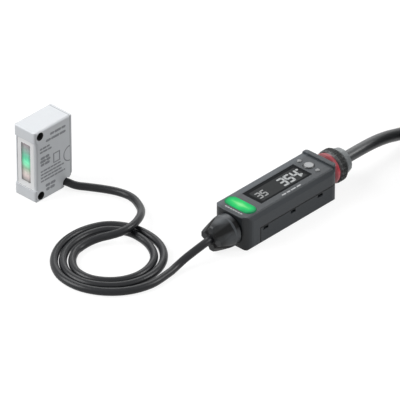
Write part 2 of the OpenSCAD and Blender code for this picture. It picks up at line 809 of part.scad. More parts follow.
module button(x, y, d, bevel) {
    translate([x, y, 0]) rotate_extrude() polygon([[0, flange_top - flange_t],
        [d / 2 + flange_out, flange_top - flange_t], [d / 2 + flange_out, flange_top],
        [d / 2, flange_top], [d / 2, body_h + button_rise - bevel],
        [d / 2 - bevel, body_h + button_rise], [0, body_h + button_rise]]);
}

module set_button() {
    color("lightgray") in_amp() button(body_l - set_back, 0, set_d, 0.3);
}

module up_key() {
    color("gray") in_amp() button(body_l - key_back, key_side, key_d, 0.2);
}

module down_key() {
    color("gray") in_amp() button(body_l - key_back, -key_side, key_d, 0.2);
}

module tact_switch(x, y, w, d) {
    block(x - w / 2, x + w / 2, y - w / 2, y + w / 2, plate_top, switch_top - 0.2);
    translate([x, y, plate_top]) cylinder(h = switch_top - plate_top, d = d);
}

module set_switch() {
    color("dimgray") in_amp() tact_switch(body_l - set_back, 0, 3, 1.8);
}

module key_switches() {
    color("dimgray") in_amp() for (side = [-1, 1])
        tact_switch(body_l - key_back, side * key_side, 1.8, 1);
}

module socket_shell() {
    bore = shell_bore / 2;
    neck = neck_d / 2;
    r = thread_d / 2;
    color("silver") in_amp() turned([[cap_x + 0.1, bore], [socket_end, bore],
        [socket_end, r - 0.5], [socket_end - 0.5, r], [thread_x + 0.4, r], [thread_x, r - 0.4],
        [thread_x, neck], [cap_x + 0.1, neck]]);
}

module socket_nut() {
    inner = neck_d / 2 + fit_gap;
    color("silver") in_amp() turned([[cap_x + 0.1, inner], [cap_x + 0.1, seat_r],
        [cap_x + seat_t - 0.1, seat_r], [cap_x + seat_t - 0.1, inner]]);
}

module at_pins() {
    for (i = [0 : pin_count - 1]) {
        a = 45 + 90 * i;
        far = i < 4 ? pin_circle_r : 0;
        translate([0, far * cos(a), axis_z + far * sin(a)]) children();
    }
}

module socket_insert() {
    color("black") in_amp() difference() {
        rod_x(cap_x - 1.7, insert_face, shell_bore / 2 - fit_gap, 0, axis_z);
        at_pins() rod_x(cap_x - 3, insert_face + 1, pin_d / 2);
    }
}

module contact_pins() {
    color("gold") in_amp() at_pins() union() {
        rod_x(cap_x - 1.9, pin_tip - 0.4, pin_d / 2);
        translate([pin_tip - 0.4, 0, 0]) rotate([0, 90, 0])
            cylinder(h = 0.4, r1 = pin_d / 2, r2 = pin_d / 4);
    }
}

module red_ring() {
    r = ring_d / 2;
    m = ring_x + ring_l / 2;
    color("crimson") in_amp() turned([[ring_x, neck_d / 2 + fit_gap], [ring_x, r - 0.6],
        [ring_x + 0.5, r - 0.2], [m - 0.7, r - 0.2], [m - 0.3, r], [m + 0.3, r], [m + 0.7, r - 0.2],
        [ring_x + ring_l - 0.5, r - 0.2], [ring_x + ring_l, r - 0.6],
        [ring_x + ring_l, neck_d / 2 + fit_gap]]);
}

module coupling_nut() {
    r = nut_d / 2;
    thread = thread_d / 2 + run_gap;
    lip = plug_neck_r() + 0.12;
    color("dimgray") in_amp() difference() {
        turned([[nut_x + 0.1, thread], [nut_x + 0.1, r - 0.5], [nut_x + 0.6, r], [nut_end - 0.6, r],
            [nut_end, r - 0.6], [nut_end, lip], [nut_end - 0.7, lip], [nut_end - 0.7, thread]]);
        for (i = [0 : grip_count - 1])
            translate([nut_x - 1, 0, axis_z]) rotate([i * 360 / grip_count, 0, 0])
                translate([0, 0, r + 0.15]) rotate([0, 90, 0]) cylinder(h = nut_l - 0.3, r = 0.4, $fn = 24);
    }
}

function plug_neck_r() = thread_d / 2 - 1.4;

module plug_body() {
    front = plug_d / 2;
    rear = plug_tail_d / 2;
    flange = thread_d / 2 - 0.6;
    inner = shell_bore / 2 - 0.5;
    flat_count = 6;
    flat_tilt = 9;
    color("gray") in_amp() difference() {
        turned([[flange_x, 0], [flange_x, flange], [nut_end - 0.8, flange], [nut_end - 0.8, plug_neck_r()],
            [plug_x, plug_neck_r()], [plug_x, front - 0.4], [plug_x + 0.4, front],
            [plug_x + plug_l * 0.35, front - 0.2], [plug_end - 0.8, rear + 0.3],
            [plug_end, rear - 0.8], [plug_end, 0]]);
        rod_x(flange_x - 1, flange_x + 0.5, inner + fit_gap, 0, axis_z);
        for (i = [0 : flat_count - 1])
            translate([0, 0, axis_z]) rotate([i * 360 / flat_count, 0, 0])
                translate([plug_x + 0.5, -front, front - 0.35]) rotate([0, flat_tilt, 0])
                    cube([plug_l * 2, plug_d, front]);
    }
}

module plug_insert() {
    nose = shell_bore / 2 - 0.1;
    groove = nose - 0.9;
    near = insert_face + 0.2;
    color("black") in_amp() difference() {
        turned([[near, 0], [near, nose], [socket_end - 1.6, nose], [socket_end - 1.6, groove],
            [socket_end - 0.4, groove], [socket_end - 0.4, nose], [flange_x - 0.05, nose],
            [flange_x - 0.05, shell_bore / 2 - 0.5], [flange_x + 0.45, shell_bore / 2 - 0.5],
            [flange_x + 0.45, 0]]);
        at_pins() rod_x(near - 1, near + 0.8, pin_d / 2 + 0.15);
        at_pins() rod_x(near + 0.5, flange_x - 0.5, pin_d / 2 + 0.4);
    }
}

module plug_contacts() {
    near = insert_face + 0.2;
    color("gold") in_amp() difference() {
        at_pins() rod_x(near + 0.85, flange_x - 0.55, pin_d / 2 + 0.34);
        at_pins() rod_x(near, pin_tip + 0.3, pin_d / 2 + 0.02);
    }
}

module plug_seal() {
    ring = 0.45;
    color("black") in_amp() translate([socket_end - 1, 0, axis_z]) rotate([0, 90, 0])
        rotate_extrude() translate([shell_bore / 2 - 0.02 - ring, 0]) circle(r = ring, $fn = 32);
}

// Output cable, its coil and its stripped end, drawn where they lie

module output_cable() {
    color("dimgray") tube(plug_run, output_cable_d, 10);
}

module output_coil() {
    r = output_cable_d / 2;
    color("dimgray") translate([coil_centre[0], coil_centre[1], 0]) rotate_extrude($fn = 96)
        polygon(rounded(rect(coil_in, tie_t, coil_out, coil_top), [r, r, r, r], 3));
}

module cable_tail() {
    color("dimgray") tube(tail_run, output_cable_d, 10);
}

module lead_wires() {
    step = wire_d / 2 + fit_gap / 2;
    color("saddlebrown") for (dy = [-step, step], dz = [-step, step])
        translate(tail_end) rotate([0, 0, tail_heading]) translate([0, dy, dz]) rotate([0, 90, 0])
            cylinder(h = wire_l, d = wire_d, $fn = 24);
}

module coil_ties() {
    near = sqrt(coil_in * coil_in - tie_w * tie_w / 4) - 0.1;
    far = coil_out + 0.1;
    color("black") for (a = tie_angles)
        translate([coil_centre[0], coil_centre[1], 0]) rotate([0, 0, a]) difference() {
            block(near - tie_t, far + tie_t, -tie_w / 2, tie_w / 2, 0, coil_top + tie_t);
            block(near, far, -tie_w, tie_w, tie_t, coil_top);
        }
}

head_case();
front_cover();
front_window();
window_gasket();
lens_holder();
laser_lens();
receiver_lens();
light_guide();
laser_diode();
receiver_chip();
status_led();
head_board();
rear_cover();
cable_boot();
sensor_cable();
upper_case();
lower_case();
end_cap();
gland_nut();
gland_seal();
indicator_lens();
indicator_leds();
display_window();
display_module();
display_board();
main_board();
board_link();
set_button();
up_key();
down_key();
set_switch();
key_switches();
socket_shell();
socket_nut();
socket_insert();
contact_pins();
red_ring();
coupling_nut();
plug_body();
plug_insert();
plug_contacts();
plug_seal();
output_cable();
output_coil();
cable_tail();
lead_wires();
coil_ties();
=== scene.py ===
import itertools
import json
import math
import bmesh
import bpy
from mathutils import Matrix, Vector


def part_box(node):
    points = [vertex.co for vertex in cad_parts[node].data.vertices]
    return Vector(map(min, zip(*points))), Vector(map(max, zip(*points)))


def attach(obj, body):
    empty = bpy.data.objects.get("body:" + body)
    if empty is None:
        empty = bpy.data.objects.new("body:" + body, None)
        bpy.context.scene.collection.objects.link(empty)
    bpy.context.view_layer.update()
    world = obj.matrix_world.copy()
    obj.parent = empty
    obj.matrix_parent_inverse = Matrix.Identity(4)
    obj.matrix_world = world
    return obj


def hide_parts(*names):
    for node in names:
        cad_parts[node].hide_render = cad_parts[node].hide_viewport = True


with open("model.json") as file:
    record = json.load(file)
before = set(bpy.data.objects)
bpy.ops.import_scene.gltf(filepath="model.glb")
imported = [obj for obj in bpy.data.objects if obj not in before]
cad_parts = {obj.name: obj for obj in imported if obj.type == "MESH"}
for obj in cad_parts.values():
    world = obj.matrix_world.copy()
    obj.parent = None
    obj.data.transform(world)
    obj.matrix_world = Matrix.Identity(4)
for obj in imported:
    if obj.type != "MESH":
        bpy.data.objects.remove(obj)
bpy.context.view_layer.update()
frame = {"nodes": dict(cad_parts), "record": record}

nodes = frame["nodes"]


def middleOf(node):
    low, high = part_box(node)
    return [(a + b) / 2 for a, b in zip(low, high)]


def sizeOf(node):
    low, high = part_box(node)
    return [b - a for a, b in zip(low, high)]


print("frame loaded:", len(nodes), "solids")


# camera, at the photograph's viewpoint

cameraSetup = {
    "target": (0.00073, -0.00823, 0.0),
    "yaw": 46.58,
    "elevation": 33.03,
    "distance": 2.186,
    "lens": 540.0,
    "sensor": 36.0,
    "clip": (0.05, 20),
}


def placeCamera(setup):
    yaw, rise = math.radians(setup["yaw"]), math.radians(setup["elevation"])
    look = Vector((math.sin(yaw) * math.cos(rise), math.cos(yaw) * math.cos(rise), -math.sin(rise)))
    data = bpy.data.cameras.new("camera")
    data.lens = setup["lens"]
    data.sensor_width = setup["sensor"]
    data.clip_start, data.clip_end = setup["clip"]
    camera = bpy.data.objects.new("camera", data)
    bpy.context.scene.collection.objects.link(camera)
    camera.location = Vector(setup["target"]) - look * setup["distance"]
    camera.rotation_mode = "QUATERNION"
    camera.rotation_quaternion = look.to_track_quat("-Z", "Y")
    bpy.context.scene.camera = camera


placeCamera(cameraSetup)
print("camera placed")


# routes of the cables, in metres and degrees

sensorRoute = {
    "diameter": 0.003,
    "sides": 8,
    "smoothing": 6,  # steps between two points
    "boot": (-0.0264, 0.034, 0.0021),
    "gland": (-0.0228, -0.03595, 0.0067),
    "origin": (-0.013, -0.03595),
    "headRun": [
        (-0.013, 0.0682, 0.002), (-0.0124, 0.0664, 0.0017), (-0.0113, 0.0644, 0.0015),
        (-0.0101, 0.0625, 0.0015), (-0.0082, 0.0593, 0.0015), (-0.0064, 0.056, 0.0015),
        (-0.0048, 0.0524, 0.0015), (-0.0038, 0.0483, 0.0015), (-0.004, 0.0446, 0.0016),
        (-0.0054, 0.0408, 0.0017), (-0.0088, 0.0358, 0.0026), (-0.0139, 0.0316, 0.004),
        (-0.0199, 0.029, 0.0047), (-0.0252, 0.0289, 0.0045), (-0.0293, 0.031, 0.0038),
        (-0.0326, 0.0337, 0.0029), (-0.0364, 0.0354, 0.0021), (-0.0406, 0.0358, 0.0015),
    ],
    "loopCentre": (-0.0375, 0.023),
    "loopStart": 120,
    "loopStep": 24,
    "loopRadii": [
        0.0136, 0.0142, 0.015, 0.0152, 0.0149, 0.0148, 0.0148, 0.0149, 0.0153, 0.0156, 0.0164,
        0.0178, 0.0184, 0.0176, 0.017, 0.017, 0.0176, 0.0183, 0.0184, 0.018, 0.018, 0.018, 0.0183,
        0.0188, 0.0193, 0.0199, 0.021, 0.0216, 0.0208, 0.0202, 0.0202, 0.0208, 0.0215, 0.0217,
        0.0217, 0.0219, 0.0222, 0.0228,
    ],
    "glandRun": [
        (-0.0258, 0.0018, 0.002), (-0.0218, 0.0016, 0.0033), (-0.0178, 0.0009, 0.0048),
        (-0.0143, 0.0002, 0.0061), (-0.0118, 0.0, 0.0066),
    ],
}

outputRoute = {
    "diameter": 0.0047,
    "length": 2.0,
    "sides": 8,
    "smoothing": 5,  # steps between two points of plugDrop
    "exit": (0.04776, -0.03595),
    "plugDrop": [
        (0.0, 0.008), (0.006, 0.008), (0.012, 0.0079), (0.018, 0.0075), (0.024, 0.0065),
        (0.03, 0.0049), (0.035, 0.0037), (0.0395, 0.0031), (0.0434, 0.00305), (0.0475, 0.00305),
    ],
    "coilCentre": (0.09526, -0.06775),
    "coilRadius": 0.027,
    "pitch": 0.0048,
    "columns": 3,
    "layers": 4,
    "tieThickness": 0.0007,
    "startAngle": 90,
    "turnAngle": 338,
    "crossAngle": 60,
    "stepAngle": 6,
    "riseAngle": 40,
    "tailLift": 0.0001,
}


def smoothPath(points, steps):
    # a smooth curve that passes through each of the points
    ends = [points[0] * 2 - points[1]] + points + [points[-1] * 2 - points[-2]]
    path = []
    for i in range(1, len(ends) - 2):
        a, b, c, d = ends[i - 1:i + 3]
        for k in range(steps):
            t = k / steps
            path.append(0.5 * (2 * b + (c - a) * t + (2 * a - 5 * b + 4 * c - d) * t ** 2
                               + (3 * b - a - 3 * c + d) * t ** 3))
    path.append(points[-1])
    return path


def onFloor(path, radius):
    return [Vector((p.x, p.y, max(p.z, radius))) for p in path]


def pathLength(path):
    return sum((b - a).length for a, b in zip(path, path[1:]))


def ease(t):
    t = min(max(t, 0.0), 1.0)
    return t * t * (3 - 2 * t)


def sensorPath(route):
    origin = Vector((*route["origin"], 0))
    points = [Vector(p) for p in route["headRun"]]
    cx, cy = route["loopCentre"]
    for i, radius in enumerate(route["loopRadii"]):
        angle = math.radians(route["loopStart"] + i * route["loopStep"])
        points.append(Vector((cx + radius * math.cos(angle), cy + radius * math.sin(angle),
                              route["diameter"] / 2)))
    points += [Vector(p) for p in route["glandRun"]]
    points = [Vector(route["boot"])] + [origin + p for p in points] + [Vector(route["gland"])]
    return onFloor(smoothPath(points, route["smoothing"]), route["diameter"] / 2)


def coilStation(route, turn):
    # mean radius and height of one turn; every second layer winds outwards again
    layer, place = divmod(turn, route["columns"])
    column = place if layer % 2 == 0 else route["columns"] - 1 - place
    outward = (route["columns"] - 1) / 2 - column
    radius = route["coilRadius"] + outward * route["pitch"]
    height = route["tieThickness"] + route["diameter"] / 2 + layer * route["pitch"]
    return radius, height


def coilPoints(route):
    # angle, radius and height all round the coil; a turn crosses to the next near its end
    turns = route["columns"] * route["layers"]
    full = turns * route["turnAngle"]
    points = []
    steps = int(full / route["stepAngle"])
    for i in range(1, steps + 1):
        phi = full * i / steps
        turn = min(int(phi / route["turnAngle"]), turns - 1)
        radius, height = coilStation(route, turn)
        left = (turn + 1) * route["turnAngle"] - phi
        if left < route["crossAngle"] and turn + 1 < turns:
            share = ease(1 - left / route["crossAngle"])
            nextRadius, nextHeight = coilStation(route, turn + 1)
            radius += (nextRadius - radius) * share
            height += (nextHeight - height) * share
        points.append((phi, radius, height))
    return points


def tailPoints(route, last, top, length):
    # on from the coil's last point, up onto its top and round its middle
    start, radius, height = last
    phi = start
    points = []
    travelled = 0.0
    while travelled < length:
        phi += route["stepAngle"]
        share = ease((phi - start) / route["riseAngle"])
        newRadius = radius + (route["coilRadius"] - radius) * share
        points.append((phi, newRadius, height + (top - height) * share))
        travelled += newRadius * math.radians(route["stepAngle"])
    return points


def outputPath(route):
    x, y = route["exit"]
    drop = [Vector((x + along, y, height)) for along, height in route["plugDrop"]]
    lead = smoothPath(drop, route["smoothing"])
    coil = coilPoints(route)
    top = route["tieThickness"] + route["layers"] * route["pitch"]
    top += route["diameter"] / 2 + route["tailLift"]
    cx, cy = route["coilCentre"]

    def place(station):
        phi, radius, height = station
        angle = math.radians(route["startAngle"] - phi)
        return Vector((cx + radius * math.cos(angle), cy + radius * math.sin(angle), height))

    path = lead + [place(s) for s in coil]
    spare = route["length"] - pathLength(path)
    path += [place(s) for s in tailPoints(route, coil[-1], top, spare)]
    while pathLength(path) > route["length"]:
        path.pop()
    path.append(path[-1] + (path[-1] - path[-2]).normalized() * (route["length"] - pathLength(path)))
    return onFloor(path, route["diameter"] / 2)


def cableCurve(name, path, diameter, sides):
    curve = bpy.data.curves.new(name, "CURVE")
    curve.dimensions = "3D"
    curve.bevel_depth = 1.0  # times the radius of each point, which also sets the piece's box
    curve.bevel_resolution = sides
    curve.use_fill_caps = True
    spline = curve.splines.new("POLY")
    spline.points.add(len(path) - 1)
    for point, at in zip(spline.points, path):
        point.co = (*at, 1)
        point.radius = diameter / 2
    spline.use_smooth = True
    piece = bpy.data.objects.new(name, curve)
    bpy.context.scene.collection.objects.link(piece)
    return piece


sensorLine = sensorPath(sensorRoute)
sensorCord = cableCurve("sensorCord", sensorLine, sensorRoute["diameter"], sensorRoute["sides"])
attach(sensorCord, "sensor")
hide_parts("sensor_cable")

outputLine = outputPath(outputRoute)
outputCord = cableCurve("outputCord", outputLine, outputRoute["diameter"], outputRoute["sides"])
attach(outputCord, "sensor")
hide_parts("output_cable", "output_coil", "cable_tail")
print("cables laid:", round(pathLength(sensorLine), 4), "m and", round(pathLength(outputLine), 4), "m")


# stripped wires at the free end

wireSetup = {
    # each wire's place in the cable, across and up
    "corners": {"wireBrown": (1, 1), "wireWhite": (-1, 1), "wireBlue": (-1, -1), "wireBlack": (1, -1)},
    "diameter": 0.0012,
    "length": 0.016,
    "bare": 0.004,
    "spread": 0.0011,
    "droop": 0.0012,
    "strand": 0.0007,
    "fromAxis": 0.00064,
    "fanUp": 0.25,  # share of the spread that goes up or down
    "inset": 0.0004,
    "overlap": 0.03,  # how far a strand reaches back into its sheath, as a share of the length
    "steps": 10,
    "sides": 4,
    "strandSides": 3,
}


def wirePath(setup, base, ahead, side, up, start, end):
    path = []
    for i in range(setup["steps"] + 1):
        t = start + (end - start) * i / setup["steps"]
        fan = ease(t) * setup["spread"]
        offset = side[0] * (setup["fromAxis"] + fan) + side[1] * (setup["fromAxis"] + fan * setup["fanUp"])
        path.append(base + ahead * (setup["length"] * t) + offset - up * (setup["droop"] * t * t))
    return path


def makeWires(setup, line):
    ahead = (line[-1] - line[-2]).normalized()
    across = Vector((0, 0, 1)).cross(ahead).normalized()
    up = ahead.cross(across)
    base = line[-1] - ahead * setup["inset"]
    bareFrom = 1 - setup["bare"] / setup["length"]
    wires, strands = [], []
    for name, (a, b) in setup["corners"].items():
        side = (across * a, up * b)
        covered = wirePath(setup, base, ahead, side, up, 0, bareFrom)
        bare = wirePath(setup, base, ahead, side, up, bareFrom - setup["overlap"], 1)
        wires.append(cableCurve(name, covered, setup["diameter"], setup["sides"]))
        strands.append(cableCurve(name + "Strand", bare, setup["strand"], setup["strandSides"]))
    for piece in wires + strands:
        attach(piece, "sensor")
    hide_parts("lead_wires")
    return wires, strands


wires, strands = makeWires(wireSetup, outputLine)

print("wires fanned out")


# finishes, each built from nodes over the object's own coordinates

def newMaterial(name):
    material = bpy.data.materials.new(name)
    material.use_nodes = True
    tree = material.node_tree
    shader = tree.nodes["Principled BSDF"]
    place = tree.nodes.new("ShaderNodeTexCoord")
    return material, tree, shader, place.outputs["Object"]


noiseSpan = (0.3, 0.7)  # where most of a noise's values lie


def noise(tree, place, scale, detail=2.0, roughness=0.55):
    node = tree.nodes.new("ShaderNodeTexNoise")
    node.inputs["Scale"].default_value = scale
    node.inputs["Detail"].default_value = detail
    node.inputs["Roughness"].default_value = roughness
    tree.links.new(place, node.inputs["Vector"])
    return node.outputs["Fac"]


def ramp(tree, value, stops):
    node = tree.nodes.new("ShaderNodeValToRGB")
    while len(node.color_ramp.elements) < len(stops):
        node.color_ramp.elements.new(0.5)
    for element, (at, colour) in zip(node.color_ramp.elements, stops):
        element.position = at
        element.color = (*colour, 1)
    tree.links.new(value, node.inputs["Fac"])
    return node.outputs["Color"]


def remap(tree, value, low, high, fromLow=noiseSpan[0], fromHigh=noiseSpan[1]):
    node = tree.nodes.new("ShaderNodeMapRange")
    node.inputs["From Min"].default_value = fromLow
    node.inputs["From Max"].default_value = fromHigh
    node.inputs["To Min"].default_value = low
    node.inputs["To Max"].default_value = high
    tree.links.new(value, node.inputs["Value"])
    return node.outputs["Result"]


def calc(tree, operation, a, b=0):
    node = tree.nodes.new("ShaderNodeMath")
    node.operation = operation
    for socket, value in zip(node.inputs, (a, b)):
        if isinstance(value, (int, float)):
            socket.default_value = value
        else:
            tree.links.new(value, socket)
    return node.outputs["Value"]


def shade(colour, factor):
    return tuple(min(1.0, c * factor) for c in colour)


mouldedSurface = {
    "patchScale": 90,
    "patchDetail": 4.0,
    "fineShare": 0.35,
    "patchShare": 0.65,
    "toneStops": (0.3, 0.5, 0.72),
    "roughSpread": (0.9, 1.12),
    "reliefDepth": 0.0001,
}


def moulded(name, colour, rough=0.5, vary=0.12, grain=2600, bump=0.04, metal=0.0, gloss=0.5):
    # an even finish with a fine grain, slightly uneven in tone and gloss
    surface = mouldedSurface
    material, tree, shader, place = newMaterial(name)
    fine = noise(tree, place, grain)
    broad = noise(tree, place, surface["patchScale"], surface["patchDetail"])
    mixed = calc(tree, "ADD", calc(tree, "MULTIPLY", fine, surface["fineShare"]),
                 calc(tree, "MULTIPLY", broad, surface["patchShare"]))
    tones = (shade(colour, 1 - vary), colour, shade(colour, 1 + vary))
    tone = ramp(tree, mixed, list(zip(surface["toneStops"], tones)))
    tree.links.new(tone, shader.inputs["Base Color"])
    smoothest, roughest = (rough * share for share in surface["roughSpread"])
    tree.links.new(remap(tree, mixed, smoothest, min(1.0, roughest)), shader.inputs["Roughness"])
    relief = tree.nodes.new("ShaderNodeBump")
    relief.inputs["Strength"].default_value = bump
    relief.inputs["Distance"].default_value = surface["reliefDepth"]
    tree.links.new(fine, relief.inputs["Height"])
    tree.links.new(relief.outputs["Normal"], shader.inputs["Normal"])
    shader.inputs["Metallic"].default_value = metal
    shader.inputs["Specular IOR Level"].default_value = gloss
    return material


def alongAxis(tree, place, axis, centre=0.0):
    # signed distance from a plane across one axis
    split = tree.nodes.new("ShaderNodeSeparateXYZ")
    tree.links.new(place, split.inputs["Vector"])
    return calc(tree, "SUBTRACT", split.outputs[axis], centre)


def awayFrom(tree, place, axis, centre):
    return calc(tree, "ABSOLUTE", alongAxis(tree, place, axis, centre))


def lengthOf(tree, a, b):
    squared = calc(tree, "ADD", calc(tree, "MULTIPLY", a, a), calc(tree, "MULTIPLY", b, b))
    return calc(tree, "SQRT", squared)


def uneven(tree, place, value, scale, by):
    # breaks up a value's even edges with a little noise
    return calc(tree, "ADD", value, remap(tree, noise(tree, place, scale), -by, by))


# painted glow on the window glass, standing in for the light behind it
glowWindow = {
    "middle": middleOf("front_window")[2],
    "glass": (0.03, 0.032, 0.032),
    "stops": [
        (0.0, (0.10, 0.10, 0.095)), (0.06, (0.30, 0.27, 0.26)), (0.15, (0.60, 0.49, 0.47)),
        (0.25, (0.54, 0.52, 0.45)), (0.35, (0.24, 0.43, 0.27)), (0.44, (0.19, 0.72, 0.40)),
        (0.51, (0.14, 0.86, 0.46)), (0.60, (0.03, 0.60, 0.30)), (0.70, (0.08, 0.45, 0.28)),
        (0.81, (0.21, 0.34, 0.29)), (0.90, (0.23, 0.24, 0.24)), (1.0, (0.22, 0.16, 0.18)),
    ],
    "half": 0.0082,  # of the glow's height, from its middle
    "sideCentre": middleOf("front_window")[1] - 0.0001,
    "side": (0.00092, 0.0023),  # where the glow starts to fall off, and where it is down to sideTone
    "sideTone": 0.3,
    "mottleScale": 900,
    "mottle": (0.85, 1.1),
    "rough": 0.08,
    "coat": 0.6,
    "coatRough": 0.03,
}


def windowGlass(name, setup):
    # dark glass that itself glows with painted light, standing in for the light behind it: from rose at the
    # bottom through green to dull red, falling off towards the sides
    material, tree, shader, place = newMaterial(name)
    height = remap(tree, alongAxis(tree, place, "Z", setup["middle"]), 0, 1, -setup["half"], setup["half"])
    glow = ramp(tree, height, setup["stops"])
    side = awayFrom(tree, place, "Y", setup["sideCentre"])
    fall = remap(tree, side, 1, setup["sideTone"], *setup["side"])
    mottle = remap(tree, noise(tree, place, setup["mottleScale"]), *setup["mottle"])
    shader.inputs["Base Color"].default_value = (*setup["glass"], 1)
    shader.inputs["Roughness"].default_value = setup["rough"]
    shader.inputs["Coat Weight"].default_value = setup["coat"]
    shader.inputs["Coat Roughness"].default_value = setup["coatRough"]
    tree.links.new(glow, shader.inputs["Emission Color"])
    tree.links.new(calc(tree, "MULTIPLY", fall, mottle), shader.inputs["Emission Strength"])
    return material


glowBar = {
    "centre": middleOf("indicator_lens"),
    "size": sizeOf("indicator_lens"),
    "speckle": (420, 0.05),  # scale and strength
    "rimShare": 0.55,
    "endShare": 0.42,
    "rough": 0.45,
    "gloss": 0.06,
    "base": (0.008, 0.09, 0.035),
    "stops": [
        (0.0, (0.30, 0.86, 0.33)), (0.14, (0.19, 0.76, 0.24)), (0.30, (0.04, 0.62, 0.14)),
        (0.48, (0.005, 0.54, 0.12)), (0.68, (0.005, 0.38, 0.10)), (0.9, (0.01, 0.12, 0.05)),
    ],
    "strength": 0.9,
}


def indicatorPlastic(name, setup):
    # green diffusing plastic, brightest over its middle and darkest at its rim
    material, tree, shader, place = newMaterial(name)
    radius, half = setup["size"][0] / 2, setup["size"][1] / 2
    across = awayFrom(tree, place, "Y", setup["centre"][1])
    beyond = calc(tree, "MAXIMUM", calc(tree, "SUBTRACT", across, half - radius), 0)
    along = alongAxis(tree, place, "X", setup["centre"][0])
    rim = calc(tree, "DIVIDE", lengthOf(tree, beyond, along), radius)
    end = calc(tree, "DIVIDE", across, half)
    far = calc(tree, "ADD", calc(tree, "MULTIPLY", rim, setup["rimShare"]),
               calc(tree, "MULTIPLY", end, setup["endShare"]))
    glow = ramp(tree, uneven(tree, place, far, *setup["speckle"]), setup["stops"])
    shader.inputs["Base Color"].default_value = (*setup["base"], 1)
    shader.inputs["Roughness"].default_value = setup["rough"]
    shader.inputs["Specular IOR Level"].default_value = setup["gloss"]
    tree.links.new(glow, shader.inputs["Emission Color"])
    shader.inputs["Emission Strength"].default_value = setup["strength"]
    return material


screenGlass = {
    "dark": (0.004, 0.005, 0.006),
    "lit": (0.034, 0.036, 0.037),
    "centre": (middleOf("display_window")[0], middleOf("display_window")[1] - 0.00035),
    "halfAcross": 0.0036,
    "halfAlong": 0.0124,
    "edge": (0.93, 0.99),  # from lit to dark, in shares of the half sizes
    "speckle": (300, 0.02),
    "rough": 0.5,
    "gloss": 0.04,
}


def displayGlass(name, setup):
    # black glass, with the panel behind it a little lighter
    material, tree, shader, place = newMaterial(name)
    across = awayFrom(tree, place, "Y", setup["centre"][1])
    along = awayFrom(tree, place, "X", setup["centre"][0])
    far = calc(tree, "MAXIMUM", remap(tree, across, 0, 1, 0, setup["halfAcross"]),
               remap(tree, along, 0, 1, 0, setup["halfAlong"]))
    lit, dark = setup["edge"]
    tone = ramp(tree, uneven(tree, place, far, *setup["speckle"]),
                [(0.0, setup["lit"]), (lit, setup["lit"]), (dark, setup["dark"])])
    tree.links.new(tone, shader.inputs["Base Color"])
    shader.inputs["Roughness"].default_value = setup["rough"]
    shader.inputs["Specular IOR Level"].default_value = setup["gloss"]
    return material


buttonFace = {
    "centre": middleOf("set_button"),
    "face": (0.31, 0.32, 0.33),
    "skirt": (0.016, 0.018, 0.02),
    "radius": 0.0034,
    "stops": (0.0, 0.45, 0.55),  # middle, rim of the face and start of the skirt, by the radius
    "rimTone": 0.85,
    "speckle": (1500, 0.02),
    "rough": 0.35,
}


def buttonCap(name, setup):
    # pale centre, dark skirt
    material, tree, shader, place = newMaterial(name)
    x = alongAxis(tree, place, "X", setup["centre"][0])
    y = alongAxis(tree, place, "Y", setup["centre"][1])
    far = calc(tree, "DIVIDE", lengthOf(tree, x, y), setup["radius"])
    tones = (setup["face"], shade(setup["face"], setup["rimTone"]), setup["skirt"])
    tone = ramp(tree, uneven(tree, place, far, *setup["speckle"]), list(zip(setup["stops"], tones)))
    tree.links.new(tone, shader.inputs["Base Color"])
    shader.inputs["Roughness"].default_value = setup["rough"]
    return material


clearSurface = {
    "grain": 700,
    "dimmest": 0.94,
    "clearness": 0.9,
    "bending": 1.5,
}


def clearPlastic(name, colour, rough=0.05):
    material, tree, shader, place = newMaterial(name)
    tones = (shade(colour, clearSurface["dimmest"]), colour)
    tone = ramp(tree, noise(tree, place, clearSurface["grain"]), list(zip(noiseSpan, tones)))
    tree.links.new(tone, shader.inputs["Base Color"])
    shader.inputs["Roughness"].default_value = rough
    shader.inputs["Transmission Weight"].default_value = clearSurface["clearness"]
    shader.inputs["IOR"].default_value = clearSurface["bending"]
    return material


def shadedBy(material, keep):
    # multiplies the finish's own colour by a value worked out from the place on the piece
    tree = material.node_tree
    shader = tree.nodes["Principled BSDF"]
    blend = tree.nodes.new("ShaderNodeVectorMath")
    blend.operation = "SCALE"
    tree.links.new(shader.inputs["Base Color"].links[0].from_socket, blend.inputs[0])
    tree.links.new(keep, blend.inputs["Scale"])
    tree.links.new(blend.outputs["Vector"], shader.inputs["Base Color"])
    return material


def ownPlace(material):
    tree = material.node_tree
    return tree, next(node for node in tree.nodes if node.type == "TEX_COORD").outputs["Object"]


steelLook = {
    "colour": (0.612, 0.632, 0.655),
    "rough": 0.44,
    "vary": 0.05,
    "grain": 3400,
    "bump": 0.10,
    "metal": 0.15,
}

screwHoles = next(mount for mount in frame["record"]["mounts"] if mount["name"] == "mounting_holes")
screwSpacing = screwHoles["dims"]["spacing_y_mm"] / 1000

headShade = {
    "boreX": screwHoles["pos_m"][0],
    "boreHeights": [screwHoles["pos_m"][2] + screwSpacing * share for share in (-0.5, 0.5)],
    "bore": (0.00163, 0.00168),  # out from a bore's axis, where the painted shade ends
    "boreShade": 0.04,
    "seamX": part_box("head_case")[1][0],
    "seam": (-0.0004, -0.0002),  # from the seam, where the dust starts and is full
    "seamDark": 0.5,
}


def caseSteel(name, look, setup):
    # satin metal: painted shade darkens the insides of the screw bores, and dust marks the seam of the rear
    # cover
    material = moulded(name, **look)
    tree, place = ownPlace(material)
    x = alongAxis(tree, place, "X", setup["boreX"])
    bores = [lengthOf(tree, x, alongAxis(tree, place, "Z", height)) for height in setup["boreHeights"]]
    nearest = calc(tree, "MINIMUM", *bores)
    # painted shade inside the screw bores
    keep = remap(tree, nearest, setup["boreShade"], 1, *setup["bore"])
    seam = alongAxis(tree, place, "X", setup["seamX"])
    edge = remap(tree, seam, 1, setup["seamDark"], *setup["seam"])
    return shadedBy(material, calc(tree, "MULTIPLY", keep, edge))


